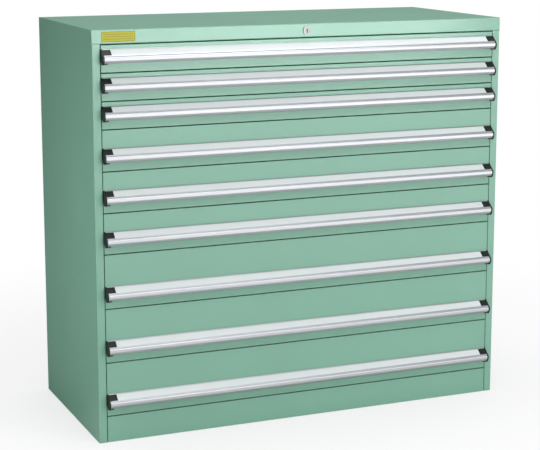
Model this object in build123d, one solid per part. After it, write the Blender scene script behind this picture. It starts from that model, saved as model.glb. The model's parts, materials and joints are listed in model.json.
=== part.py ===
from build123d import *
import math
import os

# An industrial drawer cabinet of sheet steel: nine full-width drawers in a welded carcass, one lock for all.
# X runs to the right along the front, the front faces -Y, and Z is up. The origin is on the floor, in the middle
# of the whole outline. All sizes are in millimetres.

# The carcass as a whole
cabinet_width = 1147.0
cabinet_depth = 500.0
plinth_height = 70.0
top_rail_height = 35.0
low_drawer_height = 70.0
middle_drawer_height = 105.0
deep_drawer_height = 140.0
drawers_of_each_kind = 3
front_gap = 2.5
side_gap = 1.5

# Sheet metal
skin = 1.5
back_skin = 1.2
inner_bend = 0.5
seam = 0.4
overrun = 10.0

# Side panels, top and back
stile_width = 21.0
stile_return = 15.0
back_flange = 20.0
rail_return = 15.0
top_back_flange = 22.0

# Drawer fronts and the plinth panel, which are shallow pans
pan_skin = 1.2
pan_depth = 20.0
pan_return = 14.0
pan_edge_round = 1.1
plinth_pan_depth = 16.0

# Drawer trays
tray_skin = 1.2
tray_floor_lift = 4.0
tray_top_drop = 8.0
tray_rear_room = 32.0
tray_hem = 1.3
tray_hem_height = 9.0
divider_slot_width = 2.2
divider_slot_depth = 22.0
divider_slot_pitch = 99.0
divider_slots = 9

# Slides, three members on each side of each drawer
upright_depth = 24.0
upright_length = 30.0
upright_sheet = 2.0
front_upright_setback = 50.0
rear_upright_setback = 52.0
slide_height = 32.0
slide_lift = 26.0
slide_sheet = 2.0
slide_flange = 10.0
slide_tip_gap = 2.0
slide_front_gap = 4.0
slide_clearance = 0.3
slide_side_clearance = 0.8
rivet_radius = 2.5
rivet_hole_clearance = 0.1
rivet_tail_radius = 4.0
rivet_tail_height = 1.2

# Handle extrusion: its section as distances out from the front and heights above the drawer's lower edge
handle_top = 57.5
handle_reach = 22.5
slope_drop = 19.5
lip_height = 8.0
curl_depth = 5.5
curl_drop = 6.5
hook_length = 2.0
handle_wall = 2.0
handle_round = 3.0
handle_flange = 24.0
rib_height = 1.0
rib_width = 1.5
rib_lip_length = 1.2
rib_lip_thickness = 0.4
upper_rib_start = 1.0
label_width = 21.0
shadow_groove_offset = 1.0
shadow_groove_width = 1.3
shadow_groove_depth = 0.9

# End caps of the handle
cap_thickness = 4.0
cap_proud = 0.5
cap_overhang = 1.0
cap_standoff = 0.5
cap_foot_drop = 3.5
cap_foot_back = 14.0
cap_heel_height = 8.0
cap_round = 3.0
pad_length = 20.0
pad_thickness = 1.4
pad_clearance = 0.2
plug_length = 9.0
plug_depth = 5.0
plug_round = 1.2

# Base frame and floor
base_flange = 40.0
base_sheet = 2.0
base_rear_room = 22.0
anchor_radius = 5.5
anchor_inset = 22.0
anchor_end_inset = 45.0
anchor_access_radius = 14.0

# Lock cylinder in the middle of the top rail
lock_body_radius = 9.0
lock_body_length = 22.0
lock_hole_clearance = 0.2
bezel_radius = 11.0
bezel_thickness = 2.5
bezel_round = 0.8
core_radius = 6.0
core_clearance = 0.3
core_recess = 0.6
core_tail = 2.0
keyhole_width = 1.6
keyhole_height = 7.0
keyhole_depth = 9.0
cam_throw = 5.0
cam_thickness = 2.5
cam_width = 8.0
cam_slant = 45.0
pin_radius = 2.0
pin_clearance = 0.5

# Lock rods behind the top rail and beside the left-hand drawers
rod_setback = 29.0
rod_sheet = 2.5
rod_height = 13.5
rod_top_room = 1.0
rod_right_reach = 14.0
rod_end_height = 28.5
rod_end_width = 29.0
rod_end_room = 0.9
bar_gap = 0.6
bar_sheet = 3.0
bar_width = 16.0
bar_side_room = 2.5
bar_pin_inset = 3.0
bar_pin_height = 9.5
bar_head = 4.0
bar_foot_lift = 0.5
catch_lift = 2.0
catch_height = 5.0
catch_tip_room = 1.5
striker_sheet = 3.0
striker_lift = 11.0
striker_height = 11.0
striker_reach = 15.0
striker_leg = 20.0
striker_gap = 1.0
guide_wall = 2.5
guide_clearance = 0.3
guide_length = 14.0
rod_guide_shares = (0.28, 0.74)
bar_guide_lift = 38.0
bar_guide_drawers = (0, 3, 6, 8)

# Screws of the back panel
screw_radius = 2.0
screw_hole_clearance = 0.1
screw_head_radius = 4.5
screw_head_height = 1.8
screw_length = 9.0
screw_inset = 10.0
screws_up_the_side = 5
screws_along_the_top = 3

# Heights, worked out from the sizes above
height_kinds = (low_drawer_height, middle_drawer_height, deep_drawer_height)
drawer_heights = [height for height in height_kinds for copy in range(drawers_of_each_kind)]
rail_z = plinth_height + sum(drawer_heights)
cabinet_height = rail_z + top_rail_height
drawer_z = [rail_z - sum(drawer_heights[: n + 1]) for n in range(len(drawer_heights))]

# Depths: the front plane, the back plane and what lies between them
cap_reach = handle_reach + cap_proud
front_y = cap_reach - (cap_reach + cabinet_depth + screw_head_height) / 2
back_y = front_y + cabinet_depth
tray_front_y = front_y + pan_depth
tray_back_y = back_y - tray_rear_room
slide_front_y = tray_front_y + slide_front_gap

# Widths, each counted from the middle of the cabinet
half_width = cabinet_width / 2
inner_half = half_width - skin
front_half = half_width - stile_width - side_gap
upright_face = inner_half - upright_depth
cabinet_rail_tip = upright_face - slide_flange
runner_tip = cabinet_rail_tip - slide_tip_gap
tray_half = runner_tip - slide_flange

# The lock's own places
lock_z = rail_z + top_rail_height / 2
rod_y = front_y + rod_setback
rod_top_z = cabinet_height - skin - rod_top_room
bar_y = rod_y + rod_sheet + bar_gap
bar_outer = inner_half - bar_side_room
bar_inner = bar_outer - bar_width
bar_pin_x = bar_inner + bar_pin_inset
bar_pin_z = rail_z + bar_pin_height
cam_travel = cam_throw * 2

os.makedirs("parts", exist_ok=True)


def block(x_from, x_to, y_from, y_to, z_from, z_to):
    """A box between two corners."""
    size = (x_to - x_from, y_to - y_from, z_to - z_from)
    return Pos(x_from, y_from, z_from) * Box(*size, align=(Align.MIN, Align.MIN, Align.MIN))


def shape(*points):
    """A flat face with straight sides."""
    return make_face(Polyline(*points, close=True))


def along_x(face, x_from, x_to):
    """A face drawn in Y and Z, carried from one X to the other."""
    start = Plane(origin=(x_from, 0, 0), x_dir=(0, 1, 0), z_dir=(1, 0, 0))
    return extrude(start * face, amount=x_to - x_from)


def along_y(face, y_from, y_to):
    """A face drawn in X and Z, carried from one Y to the other."""
    start = Plane(origin=(0, y_to, 0), x_dir=(1, 0, 0), z_dir=(0, -1, 0))
    return extrude(start * face, amount=y_to - y_from)


def along_z(face, z_from, z_to):
    """A face drawn in X and Y, carried from one height to the other."""
    return extrude(Pos(0, 0, z_from) * face, amount=z_to - z_from)


def folded(sheet, side, *points):
    """The section of a sheet folded along its outer face, with a small radius in each bend."""
    outer = FilletPolyline(*points, radius=sheet + inner_bend)
    return make_face(offset(outer, amount=sheet, side=side))


def other_side(solid):
    """The same piece on the other side of the cabinet."""
    return mirror(solid, about=Plane.YZ)


def cylinder_y(x, z, radius, y_from, y_to):
    """A round bar along Y."""
    return along_y(Pos(x, z) * Circle(radius), y_from, y_to)


def save(solids, name):
    """One node: a single solid, or a group of separate ones."""
    group = solids[0] if len(solids) == 1 else Compound(children=list(solids))
    export_step(group, f"parts/{name}.step")


# Screws hold the back panel to the side panels and to the top


def screw_places():
    """Where the screws of the back panel go, in X and Z."""
    z_low = plinth_height
    z_step = (rail_z - z_low) / (screws_up_the_side - 1)
    x_side = half_width - screw_inset
    x_step = 2 * x_side / (screws_along_the_top + 1)
    up = [(side * x_side, z_low + n * z_step) for side in (-1, 1) for n in range(screws_up_the_side)]
    z_top = cabinet_height - screw_inset
    along = [(n * x_step - x_side, z_top) for n in range(1, screws_along_the_top + 1)]
    return up + along


def screw(x, z):
    """A pan head outside the back panel and a shank through it."""
    head = cylinder_y(x, z, screw_head_radius, back_y, back_y + screw_head_height)
    head = fillet(head.edges().sort_by(Axis.Y)[-1], screw_head_height / 2)
    return head + cylinder_y(x, z, screw_radius, back_y - screw_length, back_y)


def drilled(solid):
    """A panel with the back screws' holes."""
    for x, z in screw_places():
        solid -= cylinder_y(x, z, screw_radius + screw_hole_clearance, back_y - overrun, back_y + overrun)
    return solid


# Carcass


def side_panel():
    """The right-hand side: one sheet with the stile at its front and a flange at its back."""
    stile_x = half_width - stile_width
    section = folded(
        skin,
        Side.LEFT,
        (stile_x, front_y + stile_return),
        (stile_x, front_y),
        (half_width, front_y),
        (half_width, back_y - back_skin),
        (half_width - back_flange, back_y - back_skin),
    )
    panel = along_z(section, 0, cabinet_height - skin)
    rail_room = front_y + skin + seam
    panel -= block(0, half_width, front_y - overrun, rail_room, rail_z, cabinet_height)
    panel -= block(0, inner_half, front_y, front_y + stile_return + seam, rail_z, cabinet_height)
    return drilled(panel)


def top_panel():
    """The top sheet, with the full-width rail folded down at its front and a flange at its back."""
    section = folded(
        skin,
        Side.LEFT,
        (back_y - back_skin, cabinet_height - top_back_flange),
        (back_y - back_skin, cabinet_height),
        (front_y, cabinet_height),
        (front_y, rail_z),
        (front_y + rail_return, rail_z),
    )
    panel = along_x(section, -half_width, half_width)
    for side in (-1, 1):
        inner, outer = sorted((side * (inner_half - seam), side * (half_width + overrun)))
        panel -= block(inner, outer, front_y + skin, back_y, rail_z - overrun, cabinet_height - skin)
        inner, outer = sorted((side * (half_width - back_flange - seam), side * (half_width + overrun)))
        behind = back_y - back_skin - skin - seam
        panel -= block(inner, outer, behind, back_y, rail_z - overrun, cabinet_height - skin)
    panel -= cylinder_y(0, lock_z, lock_body_radius + lock_hole_clearance, front_y - overrun, front_y + overrun)
    return drilled(panel)


def back_panel():
    """A flat sheet over the back of the carcass."""
    return drilled(block(-half_width, half_width, back_y - back_skin, back_y, 0, cabinet_height))


def pan(half, z_from, z_to, depth):
    """A shallow pan with its front edges rounded and a flange turned in all round its open back."""
    back = front_y + depth
    body = block(-half, half, front_y, back, z_from, z_to)
    body = fillet(body.faces().sort_by(Axis.Y)[0].edges(), pan_edge_round)
    for rim, y_to in ((pan_skin, back - pan_skin), (pan_return, back + overrun)):
        body -= block(rim - half, half - rim, front_y + pan_skin, y_to, z_from + rim, z_to - rim)
    return body


base_top_z = plinth_height - front_gap - skin
base_front_y = front_y + plinth_pan_depth
base_back_y = back_y - base_rear_room


def anchor_places():
    """Where the four floor anchors go, in X and Y."""
    x = inner_half - anchor_inset
    ends = (base_front_y + anchor_end_inset, base_back_y - anchor_end_inset)
    return [(side * x, y) for side in (-1, 1) for y in ends]


def base_frame():
    """A welded ring of channels that stands on the floor, open towards the middle."""
    ring = block(-inner_half, inner_half, base_front_y, base_back_y, 0, base_top_z)
    web = inner_half - base_sheet
    ring -= block(
        -web, web, base_front_y + base_sheet, base_back_y - base_sheet, base_sheet, base_top_z - base_sheet
    )
    hole = inner_half - base_flange
    ring -= block(
        -hole, hole, base_front_y + base_flange, base_back_y - base_flange, -overrun, base_top_z + overrun
    )
    for x, y in anchor_places():
        ring -= Pos(x, y) * Cylinder(anchor_radius, 2 * (base_sheet + seam))
        ring -= Pos(x, y, base_top_z) * Cylinder(anchor_access_radius, 2 * (base_sheet + seam))
    return ring


def floor_panel():
    """The sheet on the base frame, with holes to reach the anchors through."""
    sheet = block(-inner_half, inner_half, base_front_y, base_back_y, base_top_z, base_top_z + skin)
    for x, y in anchor_places():
        sheet -= Pos(x, y, base_top_z) * Cylinder(anchor_access_radius, 2 * (skin + seam))
    return sheet


floor_z = base_top_z + skin
upright_places = (
    front_y + front_upright_setback,
    back_y - rear_upright_setback - upright_length,
)


def upright(y):
    """A right-hand post: a channel with its web towards the drawers and its flanges on the side panel."""
    post = block(upright_face, inner_half, y, y + upright_length, floor_z, cabinet_height - skin)
    inner_y = y + upright_sheet
    outer_y = y + upright_length - upright_sheet
    post -= block(upright_face + upright_sheet, inner_half, inner_y, outer_y, 0, cabinet_height)
    for z in drawer_z:
        post -= rivet_hole(z, y)
    return post


# Slides


def rivet_place(z, y):
    """The middle of the rivet that holds the rail of a drawer to the post at y, in Y and Z."""
    return Pos(y + upright_length / 2, z + slide_lift + slide_height / 2)


def rivet_hole(z, y):
    """Its hole through the right-hand rail and post."""
    circle = rivet_place(z, y) * Circle(rivet_radius + rivet_hole_clearance)
    return along_x(circle, upright_face - slide_sheet, upright_face + upright_sheet)


def rivet(z, y):
    """A rivet that is flush in the rail, where the middle member passes, and headed behind the post."""
    behind = upright_face + upright_sheet
    shank = along_x(rivet_place(z, y) * Circle(rivet_radius), upright_face - slide_sheet, behind)
    return shank + along_x(rivet_place(z, y) * Circle(rivet_tail_radius), behind, behind + rivet_tail_height)


def channel(x_web, x_tip, z):
    """A slide member: a channel with its web at x_web and its flanges ending at x_tip."""
    low = z + slide_lift
    high = low + slide_height
    towards = math.copysign(slide_sheet, x_tip - x_web)
    x_low, x_high = sorted((x_web, x_tip))
    body = block(x_low, x_high, slide_front_y, tray_back_y, low, high)
    hollow_low, hollow_high = sorted((x_web + towards, x_tip + towards))
    return body - block(
        hollow_low,
        hollow_high,
        slide_front_y - overrun,
        tray_back_y + overrun,
        low + slide_sheet,
        high - slide_sheet,
    )


def cabinet_rail(z):
    """The outer member, riveted to both posts."""
    rail = channel(upright_face, cabinet_rail_tip, z)
    for y in upright_places:
        rail -= rivet_hole(z, y)
    return rail


def middle_rail(z):
    """The member between the other two: a closed profile that runs inside both."""
    x_from = tray_half + slide_sheet + slide_side_clearance
    x_to = upright_face - slide_sheet - slide_side_clearance
    low = z + slide_lift + slide_sheet + slide_clearance
    high = z + slide_lift + slide_height - slide_sheet - slide_clearance
    tube = block(x_from, x_to, slide_front_y, tray_back_y, low, high)
    tube = fillet(tube.edges().filter_by(Axis.Y), slide_sheet)
    hollow = block(
        x_from + slide_sheet,
        x_to - slide_sheet,
        slide_front_y - overrun,
        tray_back_y + overrun,
        low + slide_sheet,
        high - slide_sheet,
    )
    return tube - hollow


# Drawers


def tray(z, height):
    """The folded tray: a floor and four walls with hemmed tops, slotted in front and behind for dividers."""
    low = z + tray_floor_lift
    high = z + height - tray_top_drop
    body = block(-tray_half, tray_half, tray_front_y, tray_back_y, low, high)
    body = fillet(body.edges().filter_by(Axis.Z), tray_skin + inner_bend)
    for wall, top in ((tray_skin, high - tray_hem_height), (tray_skin + tray_hem, high + overrun)):
        inside = tray_half - wall
        body -= block(-inside, inside, tray_front_y + wall, tray_back_y - wall, low + tray_skin, top)
    first = -divider_slot_pitch * (divider_slots - 1) / 2
    for n in range(divider_slots):
        x = first + n * divider_slot_pitch
        half_slot = divider_slot_width / 2
        slot_low = high - divider_slot_depth
        body -= block(x - half_slot, x + half_slot, tray_front_y, tray_back_y + overrun, slot_low, high)
    return body


def striker(z):
    """The bracket on the left-hand wall of a tray that the lock bar's catch holds."""
    y = bar_y + bar_sheet + striker_gap
    low = z + striker_lift
    high = low + striker_height
    arm = block(-tray_half - striker_reach, -tray_half, y, y + striker_sheet, low, high)
    leg = block(-tray_half - striker_sheet, -tray_half, y, y + striker_leg, low, high)
    return arm + leg


def out(distance):
    """A distance out from the front plane, as a Y."""
    return front_y - distance


slope_length = math.hypot(handle_reach, slope_drop)


def on_slope(along, above):
    """A point of the handle's section: along its slope from the top edge, and above its surface."""
    distance = (along * handle_reach + above * slope_drop) / slope_length
    height = handle_top + (above * handle_reach - along * slope_drop) / slope_length
    return out(distance), height


def slope_height(distance, above=0):
    """The height of the slope at a distance out from the front, or of a line above it."""
    return handle_top + (above * slope_length - distance * slope_drop) / handle_reach


def slope_bar(start, end, low, high):
    """A four-sided piece of the section that lies along the slope."""
    return shape(on_slope(start, low), on_slope(end, low), on_slope(end, high), on_slope(start, high))


corner_z = handle_top - slope_drop
lip_z = corner_z - lip_height
curl_z = lip_z - curl_drop
curl_reach = handle_reach - curl_depth
upper_rib_end = upper_rib_start + rib_width
lower_rib_start = upper_rib_end + label_width
lower_rib_end = lower_rib_start + rib_width


def handle_section():
    """A flange on the front, a slope with a label groove, and a lip that curls back under."""
    outer = FilletPolyline(
        (out(0), handle_top),
        (out(handle_reach), corner_z),
        (out(handle_reach), lip_z),
        (out(curl_reach), curl_z),
        (out(curl_reach - hook_length), curl_z),
        radius=handle_round,
    )
    section = make_face(offset(outer, amount=handle_wall, side=Side.LEFT))
    flange_low = handle_top - handle_flange
    section += shape(
        (out(0), handle_top),
        (out(handle_wall), slope_height(handle_wall)),
        (out(handle_wall), flange_low),
        (out(0), flange_low),
    )
    section += slope_bar(upper_rib_start, upper_rib_end, -handle_wall / 2, rib_height)
    section += slope_bar(lower_rib_start, lower_rib_end, -handle_wall / 2, rib_height)
    lip_low = rib_height - rib_lip_thickness
    section += slope_bar(upper_rib_end, upper_rib_end + rib_lip_length, lip_low, rib_height)
    section += slope_bar(lower_rib_start - rib_lip_length, lower_rib_start, lip_low, rib_height)
    groove = lower_rib_end + shadow_groove_offset
    section -= slope_bar(groove, groove + shadow_groove_width, -shadow_groove_depth, rib_height)
    behind = Pos(front_y + overrun, handle_top) * Rectangle(2 * overrun, 2 * handle_top)
    return section - behind


cap_outer = front_half + cap_overhang
cap_inner = cap_outer - cap_thickness
cap_low = curl_z - cap_foot_drop


def end_cap():
    """The right-hand cap: a plate over the section, a pad in the label groove and a plug under the lip."""
    plate_face = shape(
        (out(cap_standoff), slope_height(cap_standoff, cap_proud)),
        (out(cap_reach), slope_height(cap_reach, cap_proud)),
        (out(cap_reach), lip_z),
        (out(curl_reach + cap_proud), cap_low),
        (out(cap_reach - cap_foot_back), cap_low),
        (out(cap_standoff), cap_low + cap_heel_height),
    )
    plate = along_x(plate_face, cap_inner, cap_outer)
    corners = plate.edges().filter_by(Axis.X).sort_by(Axis.Z)[:-1]
    plate = fillet(corners, cap_round)
    pad_from = upper_rib_end + rib_lip_length + pad_clearance
    pad_to = lower_rib_start - rib_lip_length - pad_clearance
    pad = along_x(slope_bar(pad_from, pad_to, 0, pad_thickness), cap_inner - pad_length, cap_outer - cap_overhang)
    plug_face = shape(
        (out(curl_reach), curl_z),
        (out(curl_reach), cap_low + cap_proud),
        (out(curl_reach - plug_depth), cap_low + cap_proud),
        (out(curl_reach - plug_depth), curl_z),
    )
    plug = along_x(plug_face, cap_inner - plug_length, cap_outer - cap_overhang)
    plug = fillet(plug.edges().filter_by(Axis.X).sort_by(Axis.Z)[:2], plug_round)
    return plate + pad + plug


# Lock


def lock_housing():
    """The fixed cylinder in the top rail, with its bezel in front."""
    body = cylinder_y(0, lock_z, lock_body_radius, front_y, front_y + lock_body_length)
    bezel = cylinder_y(0, lock_z, bezel_radius, front_y - bezel_thickness, front_y)
    bezel = fillet(bezel.edges().sort_by(Axis.Y)[0], bezel_round)
    bore = core_radius + core_clearance
    return body + bezel - cylinder_y(0, lock_z, bore, front_y - overrun, front_y + lock_body_length + overrun)


def lock_core():
    """The part that the key turns, with the cam and its pin behind. Unlocked, the pin is left of the top."""
    cam_front = front_y + lock_body_length + core_tail
    cam_back = cam_front + cam_thickness
    face_y = front_y - bezel_thickness + core_recess
    core = cylinder_y(0, lock_z, core_radius, face_y, cam_front)
    half_key = keyhole_width / 2
    key_low = lock_z - keyhole_height / 2
    core -= block(-half_key, half_key, face_y - overrun, face_y + keyhole_depth, key_low, key_low + keyhole_height)
    pin_z = lock_z + cam_throw
    middle = Pos(-cam_throw / 2, lock_z + cam_throw / 2)
    arm = middle * Rot(0, 0, -cam_slant) * SlotCenterToCenter(math.hypot(cam_throw, cam_throw), cam_width)
    cam = along_y(arm, cam_front, cam_back)
    pin = cylinder_y(-cam_throw, pin_z, pin_radius, cam_back, rod_y + rod_sheet + bar_gap)
    return core + cam + pin


def lock_rod():
    """The flat rod behind the top rail: a notch for the cam's pin and a slanted slot for the lock bar's."""
    end_x = -inner_half + rod_end_room
    rod = block(end_x, rod_right_reach, rod_y, rod_y + rod_sheet, rod_top_z - rod_height, rod_top_z)
    rod += block(end_x, end_x + rod_end_width, rod_y, rod_y + rod_sheet, rod_top_z - rod_end_height, rod_top_z)
    notch_half = pin_radius + pin_clearance
    pin_top = lock_z + math.hypot(cam_throw, cam_throw)
    rod -= block(
        -cam_throw - notch_half,
        -cam_throw + notch_half,
        rod_y - overrun,
        rod_y + overrun,
        rod_top_z - rod_height - overrun,
        pin_top + notch_half,
    )
    middle = Pos(-bar_pin_x - cam_travel / 2, bar_pin_z + cam_travel / 2)
    slot_length = math.hypot(cam_travel, cam_travel)
    slot_width = 2 * (pin_radius + guide_clearance)
    slot = middle * Rot(0, 0, -cam_slant) * SlotCenterToCenter(slot_length, slot_width)
    return rod - along_y(slot, rod_y - overrun, rod_y + rod_sheet + overrun)


def lock_bar():
    """The upright bar beside the left-hand rails, a catch welded to it for each drawer, and a pin at its head."""
    foot = min(drawer_z) + bar_foot_lift
    bar = block(-bar_outer, -bar_inner, bar_y, bar_y + bar_sheet, foot, bar_pin_z + bar_head)
    pieces = [bar, cylinder_y(-bar_pin_x, bar_pin_z, pin_radius, rod_y - bar_gap, bar_y)]
    for z in drawer_z:
        low = z + catch_lift
        tip = tray_half + catch_tip_room
        pieces.append(block(-bar_inner, -tip, bar_y, bar_y + bar_sheet, low, low + catch_height))
    return pieces


def rod_guide(x):
    """A hanger under the top sheet that the rod slides in."""
    low = rod_top_z - rod_height - guide_clearance
    y_from = rod_y - guide_clearance
    y_to = rod_y + rod_sheet + guide_clearance
    hanger = block(
        x, x + guide_length, y_from - guide_wall, y_to + guide_wall, low - guide_wall, cabinet_height - skin
    )
    return hanger - block(x - overrun, x + guide_length + overrun, y_from, y_to, low, cabinet_height)


def bar_guide(z):
    """A block on the left-hand side panel that the lock bar slides in."""
    y_from = bar_y - guide_clearance
    y_to = bar_y + bar_sheet + guide_clearance
    inner = bar_inner
    outer = bar_outer + guide_clearance
    holder = block(-inner_half, -inner, y_from - guide_wall, y_to + guide_wall, z, z + guide_length)
    return holder - block(-outer, -inner + overrun, y_from, y_to, z - overrun, z + guide_length + overrun)


# Writing the pieces

right_side = side_panel()
save([right_side], "side_panel_right")
save([other_side(right_side)], "side_panel_left")
save([top_panel()], "top_panel")
save([back_panel()], "back_panel")
save([base_frame()], "base_frame")
save([floor_panel()], "floor_panel")
save([pan(front_half, 0, plinth_height - front_gap, plinth_pan_depth)], "plinth_panel")

posts = [upright(y) for y in upright_places]
save(posts + [other_side(post) for post in posts], "uprights")
rails = [cabinet_rail(z) for z in drawer_z]
save(rails + [other_side(rail) for rail in rails], "cabinet_rails")
screws = [screw(x, z) for x, z in screw_places()]
rivets = [rivet(z, y) for z in drawer_z for y in upright_places]
save(screws + rivets + [other_side(one) for one in rivets], "screws_and_rivets")

handle = along_x(handle_section(), -cap_inner, cap_inner)
cap = end_cap()
for n, (z, height) in enumerate(zip(drawer_z, drawer_heights), start=1):
    save([pan(front_half, z, z + height - front_gap, pan_depth)], f"drawer_{n}_front")
    runner = channel(tray_half, runner_tip, z)
    save([tray(z, height), runner, other_side(runner), striker(z)], f"drawer_{n}_tray")
    save([Pos(0, 0, z) * handle], f"drawer_{n}_handle")
    save([Pos(0, 0, z) * cap, Pos(0, 0, z) * other_side(cap)], f"drawer_{n}_end_caps")
    rail = middle_rail(z)
    save([rail, other_side(rail)], f"drawer_{n}_middle_rails")

save([lock_housing()], "lock_housing")
save([lock_core()], "lock_core")
save([lock_rod()], "lock_rod")
save(lock_bar(), "lock_bar")
rod_length = inner_half + rod_right_reach
rod_guides = [rod_guide(share * rod_length - inner_half) for share in rod_guide_shares]
bar_guides = [bar_guide(drawer_z[n] + bar_guide_lift) for n in bar_guide_drawers]
save(rod_guides + bar_guides, "lock_guides")
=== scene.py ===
import json
import math

import bpy
import numpy as np
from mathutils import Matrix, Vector


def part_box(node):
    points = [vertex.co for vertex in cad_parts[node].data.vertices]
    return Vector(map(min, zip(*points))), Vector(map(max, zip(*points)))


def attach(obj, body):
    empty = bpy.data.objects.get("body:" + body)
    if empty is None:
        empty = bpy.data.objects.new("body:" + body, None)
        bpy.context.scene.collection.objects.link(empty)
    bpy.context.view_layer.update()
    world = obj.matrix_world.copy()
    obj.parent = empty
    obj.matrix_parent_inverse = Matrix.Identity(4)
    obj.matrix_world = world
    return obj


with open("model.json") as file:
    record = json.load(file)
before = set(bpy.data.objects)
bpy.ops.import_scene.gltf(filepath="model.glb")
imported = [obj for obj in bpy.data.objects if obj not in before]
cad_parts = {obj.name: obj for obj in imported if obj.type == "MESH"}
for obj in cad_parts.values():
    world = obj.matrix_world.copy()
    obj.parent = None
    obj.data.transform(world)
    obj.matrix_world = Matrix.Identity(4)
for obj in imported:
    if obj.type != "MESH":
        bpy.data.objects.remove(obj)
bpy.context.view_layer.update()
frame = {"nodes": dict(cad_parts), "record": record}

# The looks of an industrial drawer cabinet: powder-coated sheet steel, anodised handles with label strips,
# black end caps, zinc-plated slides and a nickel-plated lock. Lengths are in metres, in the frame of the
# cabinet: X to the right along the front, the front facing -Y, Z up from the floor. Colours are linear light.

drawer_count = sum(name.endswith("_handle") for name in frame["nodes"])

millimetre = 0.001
micrometre = 0.000001

# Camera, as the photograph was taken: left of the cabinet, a little above it, looking slightly down
camera_place = (-1.6449, -3.8829, 1.3413)
camera_turn_right = math.radians(22.94)
camera_tilt_down = math.radians(10.19)
camera_lens = 103.48
camera_shift_y = -0.07

# Handle section, as the extrusion is drawn: the slope for the label strip, and the length of an end cap's pad
handle_top = 57.5 * millimetre
handle_reach = 22.5 * millimetre
slope_drop = 19.5 * millimetre
cap_pad_length = 20.2 * millimetre

# Label strip in the handle's groove: where it starts below the top edge, its width and thickness, and the air
# under it. Its ends are thinned to a share over a short length, and it lies in low waves.
label_start = 2.7 * millimetre
label_width = 20.6 * millimetre
label_lift = 0.04 * millimetre
label_thickness = 0.48 * millimetre
label_corner_power = 6
label_points_round = 40
label_thinned_length = 1.2 * millimetre
label_end_share = 0.96
label_first_step = 4.0 * millimetre
label_steps = 41
label_wave_height = 0.06 * millimetre
label_waves = 7

# Yellow inventory plate on the top rail. Its rim steps inwards and forwards by shares of its thickness.
plate_width = 88.0 * millimetre
plate_height = 26.0 * millimetre
plate_thickness = 0.4 * millimetre
plate_from_drawer_edge = 1.5 * millimetre
plate_above_rail_foot = 4.5 * millimetre
plate_corner_power = 14
plate_points_round = 120
plate_inset_shares = (0.0, 0.0, 0.15, 0.45, 1.0)
plate_forward_shares = (0.0, 0.55, 0.85, 1.0, 1.0)
plate_margin = 1.6 * millimetre
plate_line = 0.6 * millimetre
plate_rule_pitch = 6.0 * millimetre
gap_over_drawer = 2.5 * millimetre

# Tray: how far the runners stand out from its side walls, and how far off the walls a face counts as theirs
runner_depth = 10.0 * millimetre
off_the_wall = 0.05 * millimetre

# Lock: the edge of its turning core and the sides of its keyhole, where shade is painted darker, and its
# turning rings
lock_core_radius = 6.1 * millimetre
lock_seam_shade_width = 1.2 * millimetre
lock_slot_shade_width = 2.8 * millimetre
lock_slot_shade_height = 5.2 * millimetre
lock_ring_radians_per_metre = 14000.0

# Studio: how bright the sky is for the object; how bright shining surfaces see the backdrop, and how much of
# its light the floor keeps in them, in front of the cabinet and behind it, with the places along Y where the
# one turns into the other; how much white is laid over the floor, and where it runs out into white, measured
# from the cabinet's middle
sky_level = 0.36
backdrop_in_mirrors = 0.4
backdrop_behind = 0.10
backdrop_turns_from = -0.3
backdrop_turns_to = 0.5
floor_half_side = 30.0
floor_in_mirrors = 0.85
floor_behind = 0.12
floor_turns_from = -0.3
floor_turns_to = 0.1
floor_glow = 0.68
white_from = 0.4
white_beyond = 2.0

# Lamps: name, place, the point each shines at, width, height, watts, and whether only its highlights show.
# The rail highlight is flagged off the handles and their label strips, which would clip to white under it.
lamps = (
    ("key", (2.4, -3.0, 3.3), (0.1, -0.2, 0.55), 2.0, 1.6, 10.0, False),
    ("front card", (1.2, -3.1, 0.75), (0.1, -0.2, 0.5), 4.2, 1.4, 43.0, False),
    ("left card", (-2.6, -2.9, 1.6), (-0.2, -0.2, 0.5), 1.4, 1.4, 10.0, False),
    ("overhead", (0.2, 0.3, 3.4), (0.0, 0.0, 0.9), 2.6, 1.8, 50.0, False),
    ("over the front", (0.3, -2.2, 3.2), (0.0, -0.2, 0.6), 2.4, 1.2, 35.0, False),
    ("side fill", (-1.4, -0.3, 0.58), (-0.57, -0.15, 0.58), 0.4, 0.4, 3.0, False),
    ("rail highlight", (0.11, -0.78, 1.0), (0.05, -0.24, 1.04), 1.22, 0.08, 4.1, True),
    ("top highlight", (0.6, 1.3, 1.35), (0.0, -0.1, 1.05), 2.4, 0.4, 0.4, True),
)


# Making nodes

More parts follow.
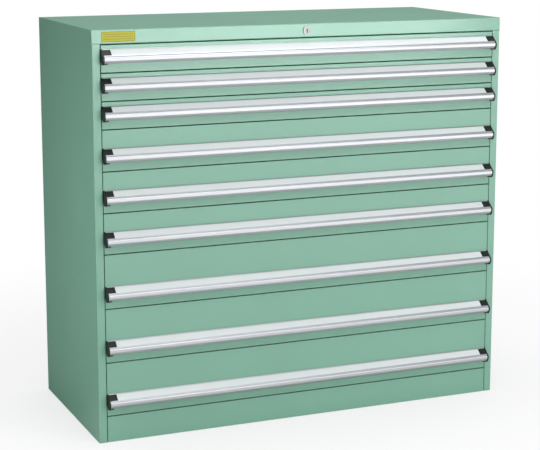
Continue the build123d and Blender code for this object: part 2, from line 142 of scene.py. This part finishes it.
class Wiring:
    """Adds nodes to one material or node group, and joins them."""

    def __init__(self, tree):
        self.tree = tree

    def put(self, socket, value):
        """Joins a socket to another, or gives it a value of its own."""
        if isinstance(value, bpy.types.NodeSocket):
            self.tree.links.new(value, socket)
        else:
            socket.default_value = value

    def add(self, kind, settings=None, **inputs):
        """A node of one kind, with its settings and its named inputs. An underscore stands for a space."""
        node = self.tree.nodes.new("ShaderNode" + kind)
        for name, value in (settings or {}).items():
            setattr(node, name, value)
        for name, value in inputs.items():
            self.put(node.inputs[name.replace("_", " ")], value)
        return node

    def maths(self, operation, *values):
        """One step of arithmetic on up to three values."""
        node = self.add("Math", {"operation": operation})
        for socket, value in zip(node.inputs, values):
            self.put(socket, value)
        return node.outputs[0]

    def vector(self, operation, *values):
        """One step of arithmetic on vectors."""
        node = self.add("VectorMath", {"operation": operation})
        for socket, value in zip(node.inputs, values):
            self.put(socket, value)
        return node.outputs["Value" if operation in ("DOT_PRODUCT", "LENGTH") else "Vector"]

    def blend(self, share, first, second):
        """A colour between two colours."""
        node = self.add("Mix", {"data_type": "RGBA"})
        for index, value in ((0, share), (6, first), (7, second)):
            self.put(node.inputs[index], value)
        return node.outputs[2]

    def ramp(self, value, low, high, to_low=0.0, to_high=1.0, curve="LINEAR"):
        """A value carried from one range to another, and held inside it."""
        node = self.add("MapRange", {"clamp": True, "interpolation_type": curve}, Value=value)
        for name, end in (("From Min", low), ("From Max", high), ("To Min", to_low), ("To Max", to_high)):
            self.put(node.inputs[name], end)
        return node.outputs[0]

    def place(self):
        """The point on the object that is being shaded."""
        return self.add("TexCoord").outputs["Object"]

    def noise(self, vector, scale, detail=2.0, roughness=0.5):
        """Smooth noise from 0 to 1."""
        node = self.add("TexNoise", Vector=vector, Scale=scale, Detail=detail, Roughness=roughness)
        return node.outputs[0]

    def bump(self, height, depth):
        """A normal that leans with a height from 0 to 1, where 1 stands one depth above 0."""
        return self.add("Bump", Height=height, Distance=depth, Strength=1.0).outputs[0]

    def mirrored(self):
        """1 for a ray that comes by way of a shining or clear surface, and 0 for the rest."""
        path = self.add("LightPath").outputs
        return self.maths("MAXIMUM", path["Is Glossy Ray"], path["Is Transmission Ray"])

    def seen_by_camera(self):
        """1 for a ray straight from the camera, and 0 for the rest."""
        return self.add("LightPath").outputs["Is Camera Ray"]


def group(name, inputs, outputs):
    """An empty node group with named number inputs and named outputs, and its wiring."""
    tree = bpy.data.node_groups.new(name, "ShaderNodeTree")
    for label, value in inputs.items():
        socket = tree.interface.new_socket(name=label, in_out="INPUT", socket_type="NodeSocketFloat")
        socket.default_value = value
    for label in outputs:
        tree.interface.new_socket(name=label, in_out="OUTPUT", socket_type="NodeSocketFloat")
    entry = tree.nodes.new("NodeGroupInput")
    way_out = tree.nodes.new("NodeGroupOutput")
    return Wiring(tree), entry.outputs, way_out.inputs


def placed(wiring, name, **inputs):
    """One of the groups below, placed in a material with its own values."""
    node = wiring.tree.nodes.new("ShaderNodeGroup")
    node.node_tree = bpy.data.node_groups[name]
    for label, value in inputs.items():
        wiring.put(node.inputs[label.replace("_", " ")], value)
    return node.outputs


def make_orange_peel():
    """The skin of baked powder paint: low rounded bumps of one wavelength, and slow clouds of other gloss."""
    w, given, out = group("orange peel", {"Wavelength": 0.003, "Cloud size": 0.25}, ("Height", "Cloud"))
    point = w.place()
    bumps = w.noise(point, w.maths("DIVIDE", 1.0, given["Wavelength"]), detail=1.0, roughness=0.4)
    pits = w.noise(point, w.maths("DIVIDE", 3.1, given["Wavelength"]), detail=1.0, roughness=0.5)
    w.put(out["Height"], w.maths("MULTIPLY_ADD", pits, 0.25, bumps))
    clouds = w.noise(point, w.maths("DIVIDE", 1.0, given["Cloud size"]), detail=3.0, roughness=0.55)
    w.put(out["Cloud"], clouds)


def make_edge_wear_and_highlight():
    """How close a point lies to a folded or cut edge: the surface's normal against the one rounded off. It
    marks rubbed wear, and on the paint a painted highlight along its edges.
    """
    w, given, out = group("edge wear and highlight", {"Radius": 0.001, "Patchiness": 0.5}, ("Edge",))
    rounded = w.add("Bevel", {"samples": 4}, Radius=given["Radius"]).outputs["Normal"]
    true = w.add("NewGeometry").outputs["Normal"]
    turn = w.maths("SUBTRACT", 1.0, w.vector("DOT_PRODUCT", rounded, true))
    near = w.ramp(turn, 0.02, 0.22)
    patches = w.ramp(w.noise(w.place(), scale=90.0, detail=3.0, roughness=0.6), 0.35, 0.65)
    kept = w.maths("SUBTRACT", 1.0, w.maths("MULTIPLY", given["Patchiness"], patches))
    w.put(out["Edge"], w.maths("MULTIPLY", near, kept))


def make_dust():
    """A thin dust that lies on what faces up, in soft drifts."""
    w, given, out = group("dust", {"Amount": 0.3}, ("Dust",))
    up = w.add("SeparateXYZ", Vector=w.add("NewGeometry").outputs["Normal"]).outputs["Z"]
    level = w.ramp(up, 0.6, 0.98)
    drifts = w.ramp(w.noise(w.place(), scale=7.0, detail=6.0, roughness=0.65), 0.35, 0.75)
    w.put(out["Dust"], w.maths("MULTIPLY", w.maths("MULTIPLY", level, drifts), given["Amount"]))


def make_drawn_lines():
    """The fine lines that a die or a brush leaves: noise drawn out along one axis by its three scales."""
    w, given, out = group(
        "drawn lines", {"Scale X": 4.0, "Scale Y": 900.0, "Scale Z": 900.0}, ("Lines", "Bands")
    )
    scales = w.add("CombineXYZ", X=given["Scale X"], Y=given["Scale Y"], Z=given["Scale Z"]).outputs[0]
    drawn = w.vector("MULTIPLY", w.place(), scales)
    w.put(out["Lines"], w.noise(drawn, scale=1.0, detail=3.0, roughness=0.6))
    w.put(out["Bands"], w.noise(w.vector("MULTIPLY", drawn, (0.12, 0.12, 0.12)), scale=1.0))


def make_spangle():
    """The crystals of a zinc coat: each cell of a Voronoi pattern has its own tone."""
    w, given, out = group("spangle", {"Cell size": 0.006}, ("Tone",))
    cells = w.add(
        "TexVoronoi", {"feature": "F1"}, Vector=w.place(), Scale=w.maths("DIVIDE", 1.0, given["Cell size"])
    )
    tone = w.add("SeparateColor", Color=cells.outputs["Color"]).outputs[0]
    mottle = w.maths("MULTIPLY", w.noise(w.place(), scale=60.0, detail=4.0), 0.4)
    w.put(out["Tone"], w.maths("MULTIPLY_ADD", tone, 0.6, mottle))


def material(name):
    """A new material with its Principled shader's sockets, and its wiring."""
    made = bpy.data.materials.new(name)
    made.use_nodes = True
    wiring = Wiring(made.node_tree)
    return made, wiring, made.node_tree.nodes["Principled BSDF"].inputs


# Finishes

def colour(red, green, blue):
    """A solid colour."""
    return (red, green, blue, 1.0)


paint = colour(0.183, 0.388, 0.290)
paint_darker = colour(*(0.95 * share for share in paint[:3]))
# A paler green for a painted highlight along the paint's edges.
paint_edge_highlight = colour(0.262, 0.465, 0.367)
dust = colour(0.42, 0.43, 0.40)
aluminium_low, aluminium_high = colour(0.49, 0.505, 0.525), colour(0.56, 0.57, 0.59)
aluminium_rubbed = colour(0.78, 0.79, 0.80)
plastic_low, plastic_high = colour(0.002, 0.006, 0.005), colour(0.006, 0.011, 0.010)
plastic_rubbed = colour(0.035, 0.045, 0.043)
zinc_low, zinc_high = colour(0.50, 0.53, 0.56), colour(0.70, 0.71, 0.72)
zinc_rubbed = colour(0.86, 0.86, 0.85)
nickel_low, nickel_high = colour(0.23, 0.24, 0.23), colour(0.30, 0.31, 0.30)
nickel_rubbed = colour(0.55, 0.56, 0.55)
lock_painted_shade = colour(0.03, 0.03, 0.03)
paper_low, paper_high = colour(0.66, 0.70, 0.715), colour(0.73, 0.76, 0.775)
yellow_low, yellow_high = colour(0.37, 0.355, 0.018), colour(0.43, 0.41, 0.026)
ink = colour(0.07, 0.07, 0.02)
floor_low, floor_high = colour(0.87, 0.87, 0.87), colour(0.89, 0.89, 0.89)
white = colour(1.0, 1.0, 1.0)


def powder_paint():
    """Light green powder paint, semi-gloss, with its orange peel and a painted highlight that makes it paler
    along its edges.
    """
    made, w, shader = material("green powder paint")
    peel = placed(w, "orange peel", Wavelength=0.0028, Cloud_size=0.3)
    edge = placed(w, "edge wear and highlight", Radius=0.0012, Patchiness=0.3)["Edge"]
    dusty = placed(w, "dust", Amount=0.10)["Dust"]
    ground = w.blend(w.ramp(peel["Cloud"], 0.3, 0.7), paint_darker, paint)
    # Painted highlight: the paint is blended paler along its edges, where light would catch them.
    edge_lit = w.blend(w.maths("MULTIPLY", edge, 0.5), ground, paint_edge_highlight)
    w.put(shader["Base Color"], w.blend(dusty, edge_lit, dust))
    w.put(shader["Roughness"], w.ramp(peel["Cloud"], 0.2, 0.8, to_low=0.32, to_high=0.38))
    w.put(shader["Normal"], w.bump(peel["Height"], depth=20 * micrometre))
    shader["Specular IOR Level"].default_value = 0.65
    return made


def anodised_aluminium():
    """Extruded aluminium, satin anodised: lines from the die along its length, and a bluish-white shine."""
    made, w, shader = material("anodised aluminium")
    drawn = placed(w, "drawn lines", Scale_X=3.0, Scale_Y=1400.0, Scale_Z=1400.0)
    edge = placed(w, "edge wear and highlight", Radius=0.0005, Patchiness=0.6)["Edge"]
    tone = w.blend(drawn["Bands"], aluminium_low, aluminium_high)
    w.put(shader["Base Color"], w.blend(w.maths("MULTIPLY", edge, 0.5), tone, aluminium_rubbed))
    w.put(shader["Roughness"], w.ramp(drawn["Lines"], 0.3, 0.7, to_low=0.34, to_high=0.44))
    w.put(shader["Normal"], w.bump(drawn["Lines"], depth=6 * micrometre))
    shader["Metallic"].default_value = 1.0
    return made


def moulded_plastic():
    """Black moulded plastic with a fine eroded grain, rubbed a little grey at its corners."""
    made, w, shader = material("black moulded plastic")
    grain = w.noise(w.place(), scale=2600.0, roughness=0.6)
    edge = placed(w, "edge wear and highlight", Radius=0.0006, Patchiness=0.5)["Edge"]
    tone = w.blend(w.noise(w.place(), scale=60.0, detail=3.0), plastic_low, plastic_high)
    w.put(shader["Base Color"], w.blend(w.maths("MULTIPLY", edge, 0.6), tone, plastic_rubbed))
    w.put(shader["Roughness"], w.ramp(grain, 0.3, 0.7, to_low=0.34, to_high=0.50))
    w.put(shader["Normal"], w.bump(grain, depth=12 * micrometre))
    shader["Specular IOR Level"].default_value = 0.35
    return made


def zinc_steel():
    """Bright zinc-plated steel: crystals of slightly different tone under faint rolling lines."""
    made, w, shader = material("zinc-plated steel")
    tone = placed(w, "spangle", Cell_size=0.005)["Tone"]
    drawn = placed(w, "drawn lines", Scale_X=700.0, Scale_Y=5.0, Scale_Z=700.0)
    edge = placed(w, "edge wear and highlight", Radius=0.0005, Patchiness=0.4)["Edge"]
    ground = w.blend(tone, zinc_low, zinc_high)
    w.put(shader["Base Color"], w.blend(w.maths("MULTIPLY", edge, 0.6), ground, zinc_rubbed))
    crystals = w.ramp(tone, 0.2, 0.8, to_low=0.24, to_high=0.38)
    w.put(shader["Roughness"], w.maths("MULTIPLY_ADD", drawn["Lines"], 0.12, crystals))
    w.put(shader["Normal"], w.bump(drawn["Lines"], depth=8 * micrometre))
    shader["Metallic"].default_value = 1.0
    return made


def turned_nickel():
    """Satin nickel on the lock, with the rings that turning leaves about the lock's own axis, and painted
    shade in the seam round its core and at the sides of its keyhole."""
    made, w, shader = material("turned nickel")
    low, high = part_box("lock_housing")
    middle = (low + high) / 2
    point = w.vector("SUBTRACT", w.place(), (middle.x, 0.0, middle.z))
    flat = w.vector("MULTIPLY", point, (1.0, 0.0, 1.0))
    away = w.vector("LENGTH", flat)
    wave = w.maths("SINE", w.maths("MULTIPLY", away, lock_ring_radians_per_metre))
    rings = w.maths("MULTIPLY_ADD", wave, 0.5, 0.5)
    from_seam = w.maths("ABSOLUTE", w.maths("SUBTRACT", away, lock_core_radius))
    unshaded_by_seam = w.ramp(from_seam, 0.0, lock_seam_shade_width, to_low=0.2)
    in_slots = w.vector("DIVIDE", flat, (lock_slot_shade_width, 1.0, lock_slot_shade_height))
    unshaded_by_slot = w.ramp(w.vector("LENGTH", in_slots), 0.4, 1.0, to_low=0.15)
    unshaded = w.maths("MULTIPLY", unshaded_by_seam, unshaded_by_slot)
    speck = w.noise(w.place(), scale=1500.0, detail=3.0)
    edge = placed(w, "edge wear and highlight", Radius=0.0004, Patchiness=0.4)["Edge"]
    tone = w.blend(speck, nickel_low, nickel_high)
    worn = w.blend(w.maths("MULTIPLY", edge, 0.5), tone, nickel_rubbed)
    # Painted shade: the nickel is blended dark in the seam round the core and about the keyhole.
    w.put(shader["Base Color"], w.blend(unshaded, lock_painted_shade, worn))
    w.put(shader["Roughness"], w.ramp(speck, 0.3, 0.7, to_low=0.48, to_high=0.58))
    w.put(shader["Normal"], w.bump(rings, depth=4 * micrometre))
    shader["Metallic"].default_value = 1.0
    return made


def laminated_paper():
    """A white label strip under clear film: paper fibres below, an even gloss with faint scuffs above."""
    made, w, shader = material("laminated paper")
    fibre = placed(w, "drawn lines", Scale_X=260.0, Scale_Y=900.0, Scale_Z=900.0)
    cloud = w.noise(w.place(), scale=14.0, detail=4.0)
    shares = w.maths("MULTIPLY_ADD", fibre["Lines"], 0.6, w.maths("MULTIPLY", cloud, 0.4))
    w.put(shader["Base Color"], w.blend(shares, paper_low, paper_high))
    w.put(shader["Roughness"], w.ramp(fibre["Lines"], 0.3, 0.7, to_low=0.42, to_high=0.55))
    scuffs = w.noise(w.vector("MULTIPLY", w.place(), (40.0, 700.0, 700.0)), scale=1.0, detail=3.0)
    w.put(shader["Normal"], w.bump(scuffs, depth=4 * micrometre))
    shader["Coat Weight"].default_value = 0.1
    shader["Coat Roughness"].default_value = 0.12
    shader["Specular IOR Level"].default_value = 0.3
    return made


def yellow_plate_finish(middle):
    """A blank yellow plate: a thin dark frame near its rim, and three ruled lines to write on."""
    made, w, shader = material("yellow plate")
    axes = w.add("SeparateXYZ", Vector=w.vector("SUBTRACT", w.place(), middle)).outputs
    across = w.maths("ABSOLUTE", axes["X"])
    tall = w.maths("ABSOLUTE", axes["Z"])
    past_side = w.maths("SUBTRACT", across, plate_width / 2 - plate_margin)
    past_top = w.maths("SUBTRACT", tall, plate_height / 2 - plate_margin)
    on_frame = w.maths("COMPARE", w.maths("MAXIMUM", past_side, past_top), 0.0, plate_line / 2)
    rule_half = plate_width / 2 - 4 * plate_margin
    to_rule = w.maths("PINGPONG", w.maths("ADD", axes["Z"], plate_rule_pitch), plate_rule_pitch / 2)
    on_rule = w.maths("LESS_THAN", to_rule, 0.6 * plate_line)
    within_length = w.maths("LESS_THAN", across, rule_half)
    among_three = w.maths("LESS_THAN", tall, 1.2 * plate_rule_pitch)
    inside = w.maths("MULTIPLY", within_length, among_three)
    inked = w.maths("MAXIMUM", on_frame, w.maths("MULTIPLY", on_rule, inside))
    cloud = w.noise(w.place(), scale=120.0, detail=4.0)
    ground = w.blend(cloud, yellow_low, yellow_high)
    w.put(shader["Base Color"], w.blend(w.maths("MULTIPLY", inked, 0.85), ground, ink))
    w.put(shader["Roughness"], w.ramp(cloud, 0.3, 0.7, to_low=0.46, to_high=0.56))
    w.put(shader["Normal"], w.bump(w.noise(w.place(), scale=900.0), depth=5 * micrometre))
    shader["Specular IOR Level"].default_value = 0.3
    return made


def studio_floor():
    """A matt white floor that shows as white where nothing shades it. Shining surfaces see it dimmed, and
    dimmer behind the cabinet than before it."""
    made, w, shader = material("studio floor")
    cloud = w.noise(w.place(), scale=3.0, detail=4.0)
    w.put(shader["Base Color"], w.blend(cloud, floor_low, floor_high))
    shader["Roughness"].default_value = 0.9
    shader["Specular IOR Level"].default_value = 0.0
    from_middle = w.vector("LENGTH", w.place())
    laid = w.ramp(from_middle, white_from, white_beyond, to_low=floor_glow, curve="SMOOTHSTEP")
    glow = w.add("Emission", Color=white, Strength=w.seen_by_camera())
    back = w.add("SeparateXYZ", Vector=w.place()).outputs["Y"]
    hidden = w.ramp(
        back, floor_turns_from, floor_turns_to, to_low=1.0 - floor_in_mirrors, to_high=1.0 - floor_behind
    )
    shown_white = w.maths("MULTIPLY", w.seen_by_camera(), laid)
    both = w.add("MixShader")
    w.put(both.inputs[0], w.maths("MULTIPLY_ADD", w.mirrored(), hidden, shown_white))
    w.put(both.inputs[1], w.tree.nodes["Principled BSDF"].outputs[0])
    w.put(both.inputs[2], glow.outputs[0])
    w.put(w.tree.nodes["Material Output"].inputs["Surface"], both.outputs[0])
    return made


# New pieces

def on_slope(along, above, front_y, low_z):
    """A point of a handle's section: so far down its slope from the top edge, and so far above the surface.
    The slope runs from the front plane at the handle's top to the handle's full reach, slope_drop lower."""
    length = math.hypot(handle_reach, slope_drop)
    outward = (along * handle_reach + above * slope_drop) / length
    height = handle_top + (above * handle_reach - along * slope_drop) / length
    return front_y - outward, low_z + height


def closed_surface(name, rings, finish):
    """A mesh from rings of points: each ring joins the next by four-sided faces, and the two end rings are
    closed by one face each. The rings are an array of rings, points and coordinates."""
    count, around = rings.shape[:2]
    here = np.arange(count - 1)[:, None] * around + np.arange(around)[None, :]
    there = np.arange(count - 1)[:, None] * around + (np.arange(around)[None, :] + 1) % around
    sides = np.stack([here, there, there + around, here + around], axis=-1).reshape(-1, 4)
    first = list(range(around))[::-1]
    last = list(range((count - 1) * around, count * around))
    mesh = bpy.data.meshes.new(name)
    mesh.from_pydata(rings.reshape(-1, 3).tolist(), [], sides.tolist() + [first, last])
    mesh.update()
    mesh.materials.append(finish)
    piece = bpy.data.objects.new(name, mesh)
    bpy.context.scene.collection.objects.link(piece)
    return piece


def rounded_loop(half_width, half_height, power, points):
    """A rounded rectangle as a superellipse: the signed cosine and sine of the angle, each to the power
    2 / n, times the half sizes. A larger n gives sharper corners."""
    angle = np.linspace(0.0, 2 * math.pi, points, endpoint=False) + math.pi / points
    wide = np.sign(np.cos(angle)) * np.abs(np.cos(angle)) ** (2 / power) * half_width
    high = np.sign(np.sin(angle)) * np.abs(np.sin(angle)) ** (2 / power) * half_height
    return wide, high


def label_strip(number, finish):
    """A strip in the label groove of one handle: a rounded section on the slope, carried along X. Near its
    ends the section shrinks by the square root of the distance to the end. Along its length it lies in low
    waves, a squared sine, as a strip that is a little long for its groove does."""
    front_low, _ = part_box(f"drawer_{number}_front")
    _, handle_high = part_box(f"drawer_{number}_handle")
    half_length = handle_high.x - cap_pad_length
    wide, high = rounded_loop(label_width / 2, label_thickness / 2, label_corner_power, label_points_round)
    ends = np.array([0.0, 1 / 3, 1.0]) * label_thinned_length
    inner = np.linspace(label_first_step, 2 * half_length - label_first_step, label_steps)
    along_x = np.concatenate([ends, inner, 2 * half_length - ends[::-1]]) - half_length
    from_end = np.clip((half_length - np.abs(along_x)) / label_thinned_length, 0.0, 1.0)
    shrink = label_end_share + (1 - label_end_share) * from_end ** 0.5
    waves = label_wave_height * np.sin(np.linspace(0.0, math.pi * label_waves, len(along_x))) ** 2
    along = label_start + label_width / 2 + wide[None, :] * shrink[:, None]
    above = label_lift + label_thickness / 2 + high[None, :] * shrink[:, None] + waves[:, None]
    y, z = on_slope(along, above, front_low.y, front_low.z)
    x = np.broadcast_to(along_x[:, None], y.shape)
    piece = closed_surface(f"label_strip_{number}", np.stack([x, y, z], axis=-1), finish)
    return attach(piece, f"drawer_{number}")


def yellow_plate():
    """The plate: rings of a superellipse that shrink towards the middle while they step forward, so that its
    rim is rounded and its face flat."""
    front_low, front_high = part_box("drawer_1_front")
    rail_foot = front_high.z + gap_over_drawer
    middle = (
        front_low.x + plate_from_drawer_edge + plate_width / 2,
        front_low.y,
        rail_foot + plate_above_rail_foot + plate_height / 2,
    )
    wide, high = rounded_loop(plate_width / 2, plate_height / 2, plate_corner_power, plate_points_round)
    inset = np.array(plate_inset_shares) * plate_thickness
    forward = np.array(plate_forward_shares) * plate_thickness
    share_x = 1 - inset * 2 / plate_width
    share_z = 1 - inset * 2 / plate_height
    x = middle[0] + wide[None, :] * share_x[:, None]
    z = middle[2] + high[None, :] * share_z[:, None]
    y = np.broadcast_to(middle[1] - forward[:, None], x.shape)
    piece = closed_surface("yellow_plate", np.stack([x, y, z], axis=-1), yellow_plate_finish(middle))
    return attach(piece, "carcass")


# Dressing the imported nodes

def dress(node, finish):
    """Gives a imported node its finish."""
    mesh = frame["nodes"][node].data
    if mesh.materials:
        mesh.materials[0] = finish
    else:
        mesh.materials.append(finish)


def dress_tray(number, plating):
    """The tray is painted already. What stands beside its side walls, the runners and the lock's bracket, is
    plated: every face whose middle lies outside the walls. The runners are the widest part of the node."""
    node = frame["nodes"][f"drawer_{number}_tray"]
    mesh = node.data
    mesh.materials.append(plating)
    centres = np.empty(len(mesh.polygons) * 3, np.float32)
    mesh.polygons.foreach_get("center", centres)
    _, tray_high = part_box(node.name)
    wall_x = tray_high.x - runner_depth
    beside = np.abs(centres[0::3]) > wall_x + off_the_wall
    mesh.polygons.foreach_set("material_index", beside.astype(np.int32))


# Camera and studio

def soft_box(name, place, target, width, height, watts, only_highlight):
    """A rectangular studio lamp that shines at a point and that the camera doesn't see."""
    lamp = bpy.data.lights.new(name, "AREA")
    lamp.shape = "RECTANGLE"
    lamp.size, lamp.size_y = width, height
    lamp.energy = watts
    thing = bpy.data.objects.new(name, lamp)
    thing.location = place
    thing.rotation_mode = "QUATERNION"
    thing.rotation_quaternion = (Vector(target) - Vector(place)).to_track_quat("-Z", "Y")
    thing.visible_camera = False
    thing.visible_diffuse = not only_highlight
    bpy.context.scene.collection.objects.link(thing)
    return thing


def flag(lamp, pieces):
    """Keeps a lamp's light off some pieces, as a black flag beside a studio lamp does."""
    shaded = bpy.data.collections.new(f"flagged from the {lamp.name}")
    for piece in pieces:
        shaded.objects.link(piece)
    for entry in shaded.collection_objects:
        entry.light_linking.link_state = "EXCLUDE"
    lamp.light_linking.receiver_collection = shaded


def make_camera():
    """The camera, turned to the right of +Y and tilted down, with a small downward shift."""
    lens = bpy.data.cameras.new("camera")
    lens.lens = camera_lens
    lens.shift_y = camera_shift_y
    camera = bpy.data.objects.new("camera", lens)
    camera.location = camera_place
    camera.rotation_euler = (math.pi / 2 - camera_tilt_down, 0.0, -camera_turn_right)
    bpy.context.scene.collection.objects.link(camera)
    bpy.context.scene.camera = camera


def make_floor():
    """A flat square floor, far wider than the camera sees."""
    half = floor_half_side
    corners = [(-half, -half, 0.0), (half, -half, 0.0), (half, half, 0.0), (-half, half, 0.0)]
    mesh = bpy.data.meshes.new("floor")
    mesh.from_pydata(corners, [], [(0, 1, 2, 3)])
    mesh.materials.append(studio_floor())
    floor = bpy.data.objects.new("floor", mesh)
    bpy.context.scene.collection.objects.link(floor)


def make_sky():
    """A white sky that lights everything evenly. Shining surfaces see it dimmed, and dimmer at the back."""
    world = bpy.data.worlds.new("studio")
    world.use_nodes = True
    bpy.context.scene.world = world
    w = Wiring(world.node_tree)
    towards_back = w.add("SeparateXYZ", Vector=w.add("TexCoord").outputs["Generated"]).outputs["Y"]
    seen = w.ramp(towards_back, backdrop_turns_from, backdrop_turns_to, backdrop_in_mirrors, backdrop_behind)
    level = w.ramp(w.mirrored(), 0.0, 1.0, sky_level, seen)
    background = world.node_tree.nodes["Background"]
    background.inputs["Color"].default_value = white
    w.put(background.inputs["Strength"], w.maths("MAXIMUM", level, w.seen_by_camera()))


make_camera()
make_floor()
make_sky()
shining = {lamp[0]: soft_box(*lamp) for lamp in lamps}
for make_group in (make_orange_peel, make_edge_wear_and_highlight, make_dust, make_drawn_lines, make_spangle):
    make_group()

finishes = {
    "green_paint": powder_paint(),
    "anodised_aluminium": anodised_aluminium(),
    "black_plastic": moulded_plastic(),
    "zinc_steel": zinc_steel(),
    "lock_chrome": turned_nickel(),
}
for part in frame["record"]["subparts"]:
    dress(part["node"], finishes[part["material_slot"]])
paper = laminated_paper()
flagged = []
for number in range(1, drawer_count + 1):
    dress_tray(number, finishes["zinc_steel"])
    flagged += [frame["nodes"][f"drawer_{number}_handle"], label_strip(number, paper)]
yellow_plate()
flag(shining["rail highlight"], flagged)

bpy.context.scene.view_settings.view_transform = "Standard"
